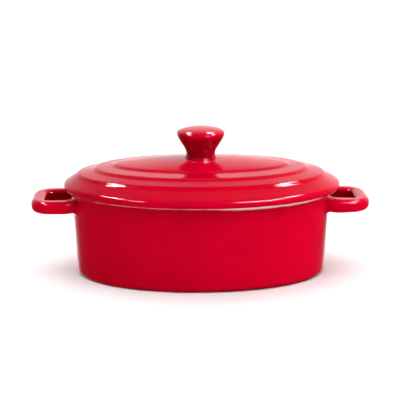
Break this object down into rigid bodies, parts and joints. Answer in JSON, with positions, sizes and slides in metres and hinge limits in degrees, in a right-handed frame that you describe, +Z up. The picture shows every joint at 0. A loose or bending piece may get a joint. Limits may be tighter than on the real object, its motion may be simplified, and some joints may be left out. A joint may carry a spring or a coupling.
{
  "type": "covered casserole dish",
  "caption": "Small oval stoneware covered casserole: oval pot with loop handles at its ends, and a stepped, domed lid with a flared knob that lifts off.",
  "frame": {"origin": "on the table, under the middle of the pot", "axes": "+X along the dish's length, from the left handle to the right one; +Y across it, to the back; +Z up"},
  "size_m": [0.1672, 0.0904, 0.0732],
  "materials": {
    "red_glaze": "glossy transparent red glaze over pale stoneware, thinner and paler along the edges"
  },
  "bodies": {
    "pot": {"pot_tub": "red_glaze", "pot_handle_left": "red_glaze", "pot_handle_right": "red_glaze"},
    "lid": {"lid_cover": "red_glaze", "lid_locating_flange": "red_glaze", "lid_knob": "red_glaze"}
  },
  "joints": [
    {"name": "lid_lift", "type": "slide", "parent": "pot", "child": "lid", "axis": [0, 0, 1], "range_m": [0, 0.1]}
  ]
}
